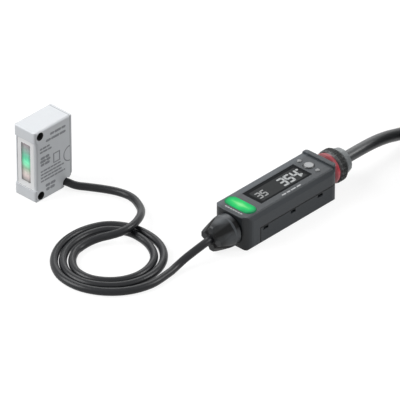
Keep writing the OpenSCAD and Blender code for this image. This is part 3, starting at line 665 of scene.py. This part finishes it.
ampShade = {
    "surface": {"vary": 0.12, "grain": 2600, "bump": 0.10},
    "endX": (-0.0125, -0.0096),  # the painted shade on the end round the gland fades out over this stretch
    "endShade": 0.32,
    "endTop": (0.0132, 0.0135),  # and stops below the top
    "blockX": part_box("lower_case")[0][0] - 0.0002,
    "uprightX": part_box("lower_case")[0][0] - 0.0001,
    "seamZ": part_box("lower_case")[1][2] + 0.0001,
    "seam": (0.000252, 0.00042),  # half width of the parting line, dark and faded
    "seamDark": 0.3,
    "soft": 0.0003,
    "axisY": middleOf("upper_case")[1],
    "side": (0.0080, 0.0082),  # out from the axis
    "topZ": (0.0134, 0.0137),
    "farStrip": (0.0046, 0.0058),  # out from the axis, beyond the display, where the painted sheen lies
    "farLift": 0.75,
    "nearStrip": (-0.0051, -0.0046),
    "nearFall": -0.15,
    "footZ": (0.0004, 0.001),
    "footShadow": 0.35,
}


def seamedPlastic(name, colour, rough, gloss, setup):
    # textured case plastic: dark in the parting line, with a painted contact shadow at the foot, painted
    # shade on the end round the gland, and on top a painted sheen, paler along the far side of the display
    # than along the near one
    material = moulded(name, colour, rough, gloss=gloss, **setup["surface"])
    tree, place = ownPlace(material)
    x, height = alongAxis(tree, place, "X"), alongAxis(tree, place, "Z")
    across = alongAxis(tree, place, "Y", setup["axisY"])

    # the parting line runs level behind the block, and upright below it
    level = remap(tree, awayFrom(tree, place, "Z", setup["seamZ"]), 1, 0, *setup["seam"])
    behind = remap(tree, x, 0, 1, setup["blockX"] - setup["soft"], setup["blockX"])
    upright = remap(tree, awayFrom(tree, place, "X", setup["uprightX"]), 1, 0, *setup["seam"])
    below = remap(tree, height, 1, 0, setup["seamZ"], setup["seamZ"] + setup["soft"])
    seam = calc(tree, "MAXIMUM", calc(tree, "MULTIPLY", level, behind),
                calc(tree, "MULTIPLY", upright, below))
    onSide = remap(tree, calc(tree, "ABSOLUTE", across), 0, 1, *setup["side"])
    dust = remap(tree, calc(tree, "MULTIPLY", seam, onSide), 1, setup["seamDark"], 0, 1)

    # painted shade on the end round the gland, stopping below the top
    end = calc(tree, "MAXIMUM", remap(tree, x, setup["endShade"], 1, *setup["endX"]),
               remap(tree, height, 0, 1, *setup["endTop"]))
    # painted contact shadow along the foot
    contactShadow = remap(tree, height, setup["footShadow"], 1, *setup["footZ"])
    # painted sheen on top: paler along the far side of the display, darker along the near one
    strips = calc(tree, "ADD", remap(tree, across, 0, setup["farLift"], *setup["farStrip"]),
                  remap(tree, across, setup["nearFall"], 0, *setup["nearStrip"]))
    paintedLight = calc(tree, "MULTIPLY", strips, remap(tree, height, 0, 1, *setup["topZ"]))
    keep = calc(tree, "MULTIPLY", calc(tree, "MULTIPLY", dust, end), contactShadow)
    return shadedBy(material, calc(tree, "MULTIPLY", keep, calc(tree, "ADD", paintedLight, 1)))


# ridge, groove, rimLift, under and the end tone are painted light and shade, as shares of the colour

glandGrip = {
    "count": 4,
    "ridge": 2.3,
    "groove": 0.1,
    "rimX": -0.0159,
    "rimLift": 2.6,
    "axis": middleOf("gland_nut")[1:],
    "under": 0.5,
    "underZ": (-0.003, 0.002),  # from the axis
    "endX": (-0.0212, -0.0186),
    "endShade": 0.32,
}

nutGrip = {
    "count": 20,
    "ridge": 0.9,
    "groove": 1.5,
    "rimX": 0.0404,
    "rimLift": 5.5,
    "axis": middleOf("coupling_nut")[1:],
}

gripShading = {
    "surface": {"rough": 0.42, "vary": 0.14, "grain": 2400, "bump": 0.06, "gloss": 0.35},
    "wave": (-0.75, 0.9),  # parts of a ridge's wave where the groove ends and the ridge starts
    "rim": (0.0003, 0.0006),
    "ridgeRough": 0.4,
    "grooveRough": 0.9,
}


def grippedPlastic(name, colour, setup):
    # painted light and shade: ridges and the grooves between them differ in tone, a painted highlight band
    # runs round the edge, and where set, painted shade falls underneath and towards the small end
    material = moulded(name, colour, **gripShading["surface"])
    tree, place = ownPlace(material)
    y = alongAxis(tree, place, "Y", setup["axis"][0])
    z = alongAxis(tree, place, "Z", setup["axis"][1])
    turn = calc(tree, "MULTIPLY", calc(tree, "ARCTAN2", z, y), setup["count"])
    # painted shade and highlight between grooves and ridges
    tone = remap(tree, calc(tree, "COSINE", turn), setup["groove"], setup["ridge"], *gripShading["wave"])
    # painted highlight band round the edge
    rim = remap(tree, awayFrom(tree, place, "X", setup["rimX"]), setup["rimLift"], 0, *gripShading["rim"])
    tree.links.new(remap(tree, tone, gripShading["grooveRough"], gripShading["ridgeRough"], setup["groove"], 1.0),
                   tree.nodes["Principled BSDF"].inputs["Roughness"])
    paintedLight = calc(tree, "MAXIMUM", tone, rim)
    # painted shade underneath and towards the small end
    if "under" in setup:
        paintedLight = calc(tree, "MULTIPLY", paintedLight, remap(tree, z, setup["under"], 1, *setup["underZ"]))
        end = remap(tree, alongAxis(tree, place, "X"), setup["endShade"], 1, *setup["endX"])
        paintedLight = calc(tree, "MULTIPLY", paintedLight, end)
    return shadedBy(material, paintedLight)


ringShade = {
    "surface": {"rough": 0.34, "vary": 0.12, "grain": 1500, "bump": 0.03},
    "bandX": (0.0372, 0.0390),
    "bandTone": (0.6, 1.5),
    "topZ": (0.0095, 0.0130),
    "topTone": 0.5,
}


def ringPlastic(name, colour, setup):
    # glossy red, with a painted highlight along the edge next to the nut, painted shade towards the
    # amplifier and painted shade on top
    material = moulded(name, colour, **setup["surface"])
    tree, place = ownPlace(material)
    # painted highlight towards the nut, painted shade towards the amplifier
    band = remap(tree, alongAxis(tree, place, "X"), *setup["bandTone"], *setup["bandX"])
    # painted shade on top
    top = remap(tree, alongAxis(tree, place, "Z"), 1, setup["topTone"], *setup["topZ"])
    return shadedBy(material, calc(tree, "MULTIPLY", band, top))


# moulded takes roughness, unevenness, grain, bump and metal after the colour
finishes = {
    "satinSteel": moulded("satinSteel", **steelLook),
    "caseSteel": caseSteel("caseSteel", steelLook, headShade),
    "coverPlastic": moulded("coverPlastic", (0.82, 0.825, 0.83), 0.4, 0.03, 2600, 0.03),
    "windowGlass": windowGlass("windowGlass", glowWindow),
    "blackRubber": moulded("blackRubber", (0.014, 0.014, 0.015), 0.65, 0.2, 1800, 0.08, gloss=0.3),
    "innerPlastic": moulded("innerPlastic", (0.02, 0.02, 0.022), 0.55, 0.15, 1500, 0.05),
    "lensGlass": clearPlastic("lensGlass", (0.85, 0.92, 0.98)),
    "guidePlastic": clearPlastic("guidePlastic", (0.4, 0.85, 0.45), 0.2),
    "greenBoard": moulded("greenBoard", (0.01, 0.09, 0.03), 0.35, 0.25, 900, 0.04),
    "chipPlastic": moulded("chipPlastic", (0.012, 0.012, 0.014), 0.4, 0.15, 1500, 0.04),
    "ledPlastic": moulded("ledPlastic", (0.15, 0.7, 0.2), 0.25, 0.1, 900, 0.02),
    "goldPlate": moulded("goldPlate", (0.76, 0.53, 0.20), 0.25, 0.08, 1600, 0.03, 1.0),
    "casePlastic": seamedPlastic("casePlastic", (0.036, 0.042, 0.048), 0.46, 0.36, ampShade),
    "lowerPlastic": seamedPlastic("lowerPlastic", (0.029, 0.034, 0.039), 0.5, 0.3, ampShade),
    "glandPlastic": grippedPlastic("glandPlastic", (0.028, 0.031, 0.034), glandGrip),
    "indicatorPlastic": indicatorPlastic("indicatorPlastic", glowBar),
    "displayGlass": displayGlass("displayGlass", screenGlass),
    "buttonCap": buttonCap("buttonCap", buttonFace),
    "keyPlastic": moulded("keyPlastic", (0.20, 0.205, 0.21), 0.4, 0.1, 2000, 0.05),
    "nickelPlate": moulded("nickelPlate", (0.11, 0.085, 0.09), 0.5, 0.06, 2200, 0.04, 0.9),
    "redPlastic": ringPlastic("redPlastic", (0.50, 0.055, 0.075), ringShade),
    "nutPlastic": grippedPlastic("nutPlastic", (0.016, 0.017, 0.017), nutGrip),
    "plugPlastic": moulded("plugPlastic", (0.20, 0.215, 0.22), 0.42, 0.1, 2400, 0.06),
    "sensorSheath": moulded("sensorSheath", (0.012, 0.013, 0.015), 0.34, 0.16, 1500, 0.08, gloss=0.3),
    "outputSheath": moulded("outputSheath", (0.070, 0.074, 0.077), 0.38, 0.14, 1500, 0.05, gloss=0.5),
    "sideInk": moulded("sideInk", (0.27, 0.28, 0.30), 0.5, 0.2),
    "paleInk": moulded("paleInk", (0.40, 0.41, 0.42), 0.5, 0.2),
    "strapFabric": moulded("strapFabric", (0.012, 0.012, 0.013), 0.8, 0.3, 2600, 0.5),
    "copper": moulded("copper", (0.72, 0.36, 0.20), 0.35, 0.15, 3200, 0.2, 1.0),
    "wireBrown": moulded("wireBrownSheath", (0.10, 0.035, 0.015), 0.4),
    "wireWhite": moulded("wireWhiteSheath", (0.72, 0.72, 0.70), 0.4),
    "wireBlue": moulded("wireBlueSheath", (0.015, 0.08, 0.36), 0.4),
    "wireBlack": moulded("wireBlackSheath", (0.012, 0.012, 0.012), 0.4),
}

nodeFinish = {
    "head_case": "caseSteel", "rear_cover": "satinSteel", "front_cover": "coverPlastic",
    "front_window": "windowGlass", "window_gasket": "blackRubber", "lens_holder": "innerPlastic",
    "laser_lens": "lensGlass", "receiver_lens": "lensGlass", "light_guide": "guidePlastic",
    "laser_diode": "goldPlate", "receiver_chip": "chipPlastic", "status_led": "ledPlastic",
    "head_board": "greenBoard", "cable_boot": "blackRubber", "upper_case": "casePlastic",
    "lower_case": "lowerPlastic", "end_cap": "casePlastic", "gland_nut": "glandPlastic",
    "gland_seal": "blackRubber", "indicator_lens": "indicatorPlastic", "indicator_leds": "ledPlastic",
    "display_window": "displayGlass", "display_module": "chipPlastic", "display_board": "greenBoard",
    "main_board": "greenBoard", "board_link": "innerPlastic", "set_button": "buttonCap",
    "up_key": "keyPlastic", "down_key": "keyPlastic", "set_switch": "innerPlastic",
    "key_switches": "innerPlastic", "socket_shell": "nickelPlate", "socket_nut": "nickelPlate",
    "socket_insert": "innerPlastic", "contact_pins": "goldPlate", "red_ring": "redPlastic",
    "coupling_nut": "nutPlastic", "plug_body": "plugPlastic", "plug_insert": "innerPlastic",
    "plug_contacts": "goldPlate", "plug_seal": "blackRubber", "sensor_cable": "sensorSheath",
    "output_cable": "outputSheath", "output_coil": "outputSheath", "cable_tail": "outputSheath",
    "lead_wires": "wireBrown", "coil_ties": "strapFabric",
}


def dress(piece, finish):
    slots = piece.data.materials
    slots.clear()
    slots.append(finishes[finish])


for name, piece in nodes.items():
    dress(piece, nodeFinish[name])
dress(sensorCord, "sensorSheath")
dress(outputCord, "outputSheath")
for wire, strand in zip(wires, strands):
    dress(wire, wire.name)
    dress(strand, "copper")
print("finishes:", len(finishes))


# softly rounded edges on the moulded and machined solids, in metres

edgeRounding = {
    "head_case": 0.00018, "rear_cover": 0.00018, "front_cover": 0.00012, "upper_case": 0.00014,
    "lower_case": 0.00014, "end_cap": 0.00014, "gland_nut": 0.00018, "coupling_nut": 0.00010,
    "plug_body": 0.00015, "red_ring": 0.00012, "set_button": 0.00008, "up_key": 0.00006,
    "down_key": 0.00006, "indicator_lens": 0.00008, "cable_boot": 0.00012, "coil_ties": 0.00012,
}

edgeSetup = {
    "weld": 0.000002,
    "segments": 2,
    "sharpFrom": 34,
}


def roundEdges(piece, width, setup):
    weld = piece.modifiers.new("weld", "WELD")
    weld.merge_threshold = setup["weld"]
    bevel = piece.modifiers.new("edges", "BEVEL")
    bevel.width = width
    bevel.segments = setup["segments"]
    bevel.limit_method = "ANGLE"
    bevel.angle_limit = math.radians(setup["sharpFrom"])
    bevel.use_clamp_overlap = True
    bevel.harden_normals = True


for name, width in edgeRounding.items():
    roundEdges(nodes[name], width, edgeSetup)
print("edges rounded:", len(edgeRounding))


# lit figures on the display: a small pair near the indicator and a larger reading

figureSetup = {
    "height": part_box("display_window")[1][2] + 0.00001,
    "depth": 0.00006,
    "lean": 0.12,
    "advance": 0.78,  # from one figure to the next, by the figure's size
    "groups": [
        {"text": "35", "x": 0.0009, "y": -0.0381, "size": 0.0032, "bar": 0.00058},
        {"text": "354", "x": 0.0131, "y": -0.0387, "size": 0.0043, "bar": 0.00086},
    ],
    "dots": [(0.0238, -0.0346), (0.0229, -0.0378)],
    "dotHalf": (0.0003, 0.00048),
    "unlit": (0.16, 0.16, 0.16),
    "grain": 1200,
    "tones": [(0.35, (0.42, 0.45, 0.46)), (0.65, (0.62, 0.65, 0.66))],
    "glow": 0.44,
    "dimmed": 0.5,
    "dimmedX": (0.0085, 0.0095),  # between the small pair and the reading
}

# the bars of a figure, on a grid one wide and two high
segments = {
    "top": (0, 2, 1, 2), "topRight": (1, 1, 1, 2), "lowRight": (1, 0, 1, 1), "bottom": (0, 0, 1, 0),
    "topLeft": (0, 1, 0, 2), "middle": (0, 1, 1, 1),
}
figures = {
    "3": ["top", "topRight", "middle", "lowRight", "bottom"],
    "4": ["topLeft", "middle", "topRight", "lowRight"],
    "5": ["top", "topLeft", "middle", "lowRight", "bottom"],
}


barTip = 0.8  # how far a bar's point stands out, by its half width


def addBar(mesh, ax, ay, bx, by, half, low, high):
    # a flat bar with pointed ends
    along = Vector((bx - ax, by - ay)).normalized()
    side = Vector((-along.y, along.x)) * half
    tip = along * half * barTip
    outline = [Vector((ax, ay)) - tip, Vector((ax, ay)) + side, Vector((bx, by)) + side,
               Vector((bx, by)) + tip, Vector((bx, by)) - side, Vector((ax, ay)) - side]
    bottom = [mesh.verts.new((p.x, p.y, low)) for p in outline]
    top = [mesh.verts.new((p.x, p.y, high)) for p in outline]
    mesh.faces.new(top)
    mesh.faces.new(bottom[::-1])
    for i in range(len(outline)):
        j = (i + 1) % len(outline)
        mesh.faces.new((bottom[i], bottom[j], top[j], top[i]))


sharpestMitre = 0.7  # keeps a band's corners from running out into points


def addBand(mesh, points, half, low, high, closed=False):
    # a flat band of even width along a line of points
    count = len(points)
    rows = []
    for i, (x, y) in enumerate(points):
        before = points[i - 1] if i or closed else points[i]
        after = points[(i + 1) % count] if i + 1 < count or closed else points[i]
        along = Vector((after[0] - before[0], after[1] - before[1])).normalized()
        turn = Vector((x - before[0], y - before[1])).normalized().dot(along)
        side = Vector((-along.y, along.x)) * half / max(turn, sharpestMitre)
        rows.append([mesh.verts.new((x + side.x * k, y + side.y * k, z))
                     for k, z in ((1, low), (-1, low), (-1, high), (1, high))])
    for i in range(count if closed else count - 1):
        a, b = rows[i], rows[(i + 1) % count]
        for k in range(4):
            mesh.faces.new((a[k], a[(k + 1) % 4], b[(k + 1) % 4], b[k]))
    if not closed:
        mesh.faces.new(rows[0])
        mesh.faces.new(rows[-1][::-1])


def meshPiece(name, build, finish):
    mesh = bmesh.new()
    build(mesh)
    bmesh.ops.recalc_face_normals(mesh, faces=mesh.faces)
    data = bpy.data.meshes.new(name)
    mesh.to_mesh(data)
    mesh.free()
    piece = bpy.data.objects.new(name, data)
    bpy.context.scene.collection.objects.link(piece)
    piece.data.materials.append(finishes[finish])
    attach(piece, "sensor")


def litFigures(name, setup):
    # the small pair near the indicator is lit less than the reading
    material, tree, shader, place = newMaterial(name)
    glow = ramp(tree, noise(tree, place, setup["grain"]), setup["tones"])
    shader.inputs["Base Color"].default_value = (*setup["unlit"], 1)
    tree.links.new(glow, shader.inputs["Emission Color"])
    past = remap(tree, alongAxis(tree, place, "X"), setup["dimmed"], 1, *setup["dimmedX"])
    tree.links.new(calc(tree, "MULTIPLY", past, setup["glow"]), shader.inputs["Emission Strength"])
    return material


finishes["litFigures"] = litFigures("litFigures", figureSetup)


def buildFigures(mesh):
    low = figureSetup["height"]
    high = low + figureSetup["depth"]
    for group in figureSetup["groups"]:
        unit = group["size"] / 2
        lean = figureSetup["lean"] * unit
        for i, sign in enumerate(group["text"]):
            left = group["x"] + i * group["size"] * figureSetup["advance"]
            for bar in figures[sign]:
                ax, ay, bx, by = segments[bar]
                addBar(mesh, left + ax * unit + ay * lean, group["y"] + ay * unit,
                       left + bx * unit + by * lean, group["y"] + by * unit,
                       group["bar"] / 2, low, high)
    halfLength, halfWidth = figureSetup["dotHalf"]
    for x, y in figureSetup["dots"]:
        addBar(mesh, x - halfLength, y, x + halfLength, y, halfWidth, low, high)


meshPiece("readout", buildFigures, "litFigures")
print("readout lit")


# plain dashes, a rectangle and an arc on the head's side

sideMarkSetup = {
    "face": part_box("head_case")[0][1],
    "sunk": 0.00001,
    "proud": 0.00002,
    "dashShares": (0.55, 1.0, 0.75),
    "gap": 1.5,  # between two dashes, by their half width
    "rows": [
        {"x": (-0.0340, -0.0266), "z": 0.0264, "half": 0.00050, "dash": 0.0028},
        {"x": (-0.0362, -0.0266), "z": 0.0243, "half": 0.00050, "dash": 0.0036},
        {"x": (-0.0394, -0.0342), "z": 0.0219, "half": 0.00040, "dash": 0.0015},
        {"x": (-0.0394, -0.0336), "z": 0.0205, "half": 0.00040, "dash": 0.0019},
        {"x": (-0.0390, -0.0352), "z": 0.0178, "half": 0.00055, "dash": 0.0030},
        {"x": (-0.0392, -0.0346), "z": 0.0164, "half": 0.00055, "dash": 0.0042},
        {"x": (-0.0390, -0.0350), "z": 0.0150, "half": 0.00055, "dash": 0.0024},
        {"x": (-0.0392, -0.0290), "z": 0.0122, "half": 0.00034, "dash": 0.0016},
        {"x": (-0.0392, -0.0276), "z": 0.0108, "half": 0.00034, "dash": 0.0021},
        {"x": (-0.0392, -0.0284), "z": 0.0094, "half": 0.00034, "dash": 0.0017},
        {"x": (-0.0392, -0.0270), "z": 0.0080, "half": 0.00034, "dash": 0.0024},
        {"x": (-0.0366, -0.0322), "z": 0.0053, "half": 0.00060, "dash": 0.0030},
        {"x": (-0.0364, -0.0326), "z": 0.0036, "half": 0.00060, "dash": 0.0022},
    ],
    "frame": {"x": (-0.0326, -0.0296), "z": (0.0134, 0.0172), "half": 0.00026},
    "arc": {"x": -0.0243, "z": 0.0138, "radius": 0.0031, "half": 0.00022, "steps": 12},
}


def buildSideMarks(mesh):
    setup = sideMarkSetup
    low, high = -setup["sunk"], setup["proud"]
    for row in setup["rows"]:
        at, last = row["x"]
        shares = itertools.cycle(setup["dashShares"])
        while at < last:
            long = row["dash"] * next(shares)
            addBar(mesh, at, row["z"], min(at + long, last), row["z"], row["half"], low, high)
            at += long + row["half"] * setup["gap"]
    left, right = setup["frame"]["x"]
    bottom, top = setup["frame"]["z"]
    corners = [(left, bottom), (right, bottom), (right, top), (left, top)]
    addBand(mesh, corners, setup["frame"]["half"], low, high, True)
    arc = setup["arc"]
    angles = [math.radians(90 + 180 * k / arc["steps"]) for k in range(arc["steps"] + 1)]
    addBand(mesh, [(arc["x"] + arc["radius"] * math.cos(a), arc["z"] + arc["radius"] * math.sin(a))
                   for a in angles], arc["half"], low, high)
    upright = Matrix(((1, 0, 0, 0), (0, 0, -1, setup["face"]), (0, 1, 0, 0), (0, 0, 0, 1)))
    bmesh.ops.transform(mesh, matrix=upright, verts=mesh.verts)


meshPiece("sideMarks", buildSideMarks, "sideInk")


# pale dashes beside the display and a row of ticks before the indicator

topMarkSetup = {
    "face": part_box("upper_case")[1][2],
    "sunk": 0.00002,
    "proud": 0.00002,
    "y": -0.0424,
    "dashes": [(0.0078, 0.0018), (0.0104, 0.0014), (0.0126, 0.0022), (0.0156, 0.0018)],
    "dashHalf": 0.0003,
    "tickX": -0.01135,
    "tickY": (-0.0404, -0.0320),
    "tick": 0.0008,
    "tickStep": 0.00124,
    "tickHalf": 0.00024,
}


def buildTopMarks(mesh):
    setup = topMarkSetup
    low, high = setup["face"] - setup["sunk"], setup["face"] + setup["proud"]
    for x, long in setup["dashes"]:
        addBar(mesh, x, setup["y"], x + long, setup["y"], setup["dashHalf"], low, high)
    at, last = setup["tickY"]
    while at < last:
        addBar(mesh, setup["tickX"], at, setup["tickX"], at + setup["tick"], setup["tickHalf"], low, high)
        at += setup["tickStep"]


meshPiece("topMarks", buildTopMarks, "paleInk")
print("marks laid")


# floor, world and lamps

stageSetup = {
    "floorSize": 6.0,
    "floorDrop": 0.00002,
    "floorTone": 0.22,
    "floorMottle": 1.02,
    "floorGrain": 40,
    "floorGlow": 0.85,
    "worldFill": 0.30,
}

lampSetup = {
    "key": {"power": 2.6, "spread": 40, "turn": 140, "rise": 38},
    "back": {"power": 0.45, "spread": 30, "turn": 43, "rise": 36},
    "side": {"power": 1.15, "spread": 20, "turn": -44, "rise": 36},
}


def seenDirectly(tree):
    # 1 for the rays that show the background: from the camera, off gloss and through glass
    paths = tree.nodes.new("ShaderNodeLightPath")
    bent = calc(tree, "MAXIMUM", paths.outputs["Is Glossy Ray"], paths.outputs["Is Transmission Ray"])
    return calc(tree, "MAXIMUM", paths.outputs["Is Camera Ray"], bent)


def makeFloor(setup):
    bpy.ops.mesh.primitive_plane_add(size=setup["floorSize"], location=(0, 0, -setup["floorDrop"]))
    floor = bpy.context.object
    floor.name = "floor"
    material, tree, shader, place = newMaterial("floorPaper")
    paper = (setup["floorTone"],) * 3
    tones = (paper, shade(paper, setup["floorMottle"]))
    tone = ramp(tree, noise(tree, place, setup["floorGrain"], 3.0), list(zip(noiseSpan, tones)))
    tree.links.new(tone, shader.inputs["Base Color"])
    shader.inputs["Roughness"].default_value = 0.9
    shader.inputs["Specular IOR Level"].default_value = 0.0
    lift = calc(tree, "MULTIPLY", seenDirectly(tree), setup["floorGlow"])
    shader.inputs["Emission Color"].default_value = (1, 1, 1, 1)
    tree.links.new(lift, shader.inputs["Emission Strength"])
    floor.data.materials.append(material)


def makeWorld(setup):
    world = bpy.data.worlds.new("studio")
    bpy.context.scene.world = world
    world.use_nodes = True
    tree = world.node_tree
    sky = tree.nodes["Background"]
    sky.inputs["Color"].default_value = (1, 1, 1, 1)
    strength = remap(tree, seenDirectly(tree), setup["worldFill"], 1, 0, 1)
    tree.links.new(strength, sky.inputs["Strength"])


def makeLamp(name, setup):
    turn, rise = math.radians(setup["turn"]), math.radians(setup["rise"])
    toward = Vector((math.cos(turn) * math.cos(rise), math.sin(turn) * math.cos(rise), math.sin(rise)))
    light = bpy.data.lights.new(name, "SUN")
    light.energy = setup["power"]
    light.angle = math.radians(setup["spread"])
    lamp = bpy.data.objects.new(name, light)
    bpy.context.scene.collection.objects.link(lamp)
    lamp.rotation_mode = "QUATERNION"
    lamp.rotation_quaternion = (-toward).to_track_quat("-Z", "Y")


makeFloor(stageSetup)
makeWorld(stageSetup)
for name, setup in lampSetup.items():
    makeLamp(name, setup)
bpy.context.scene.view_settings.view_transform = "Standard"
print("stage lit")
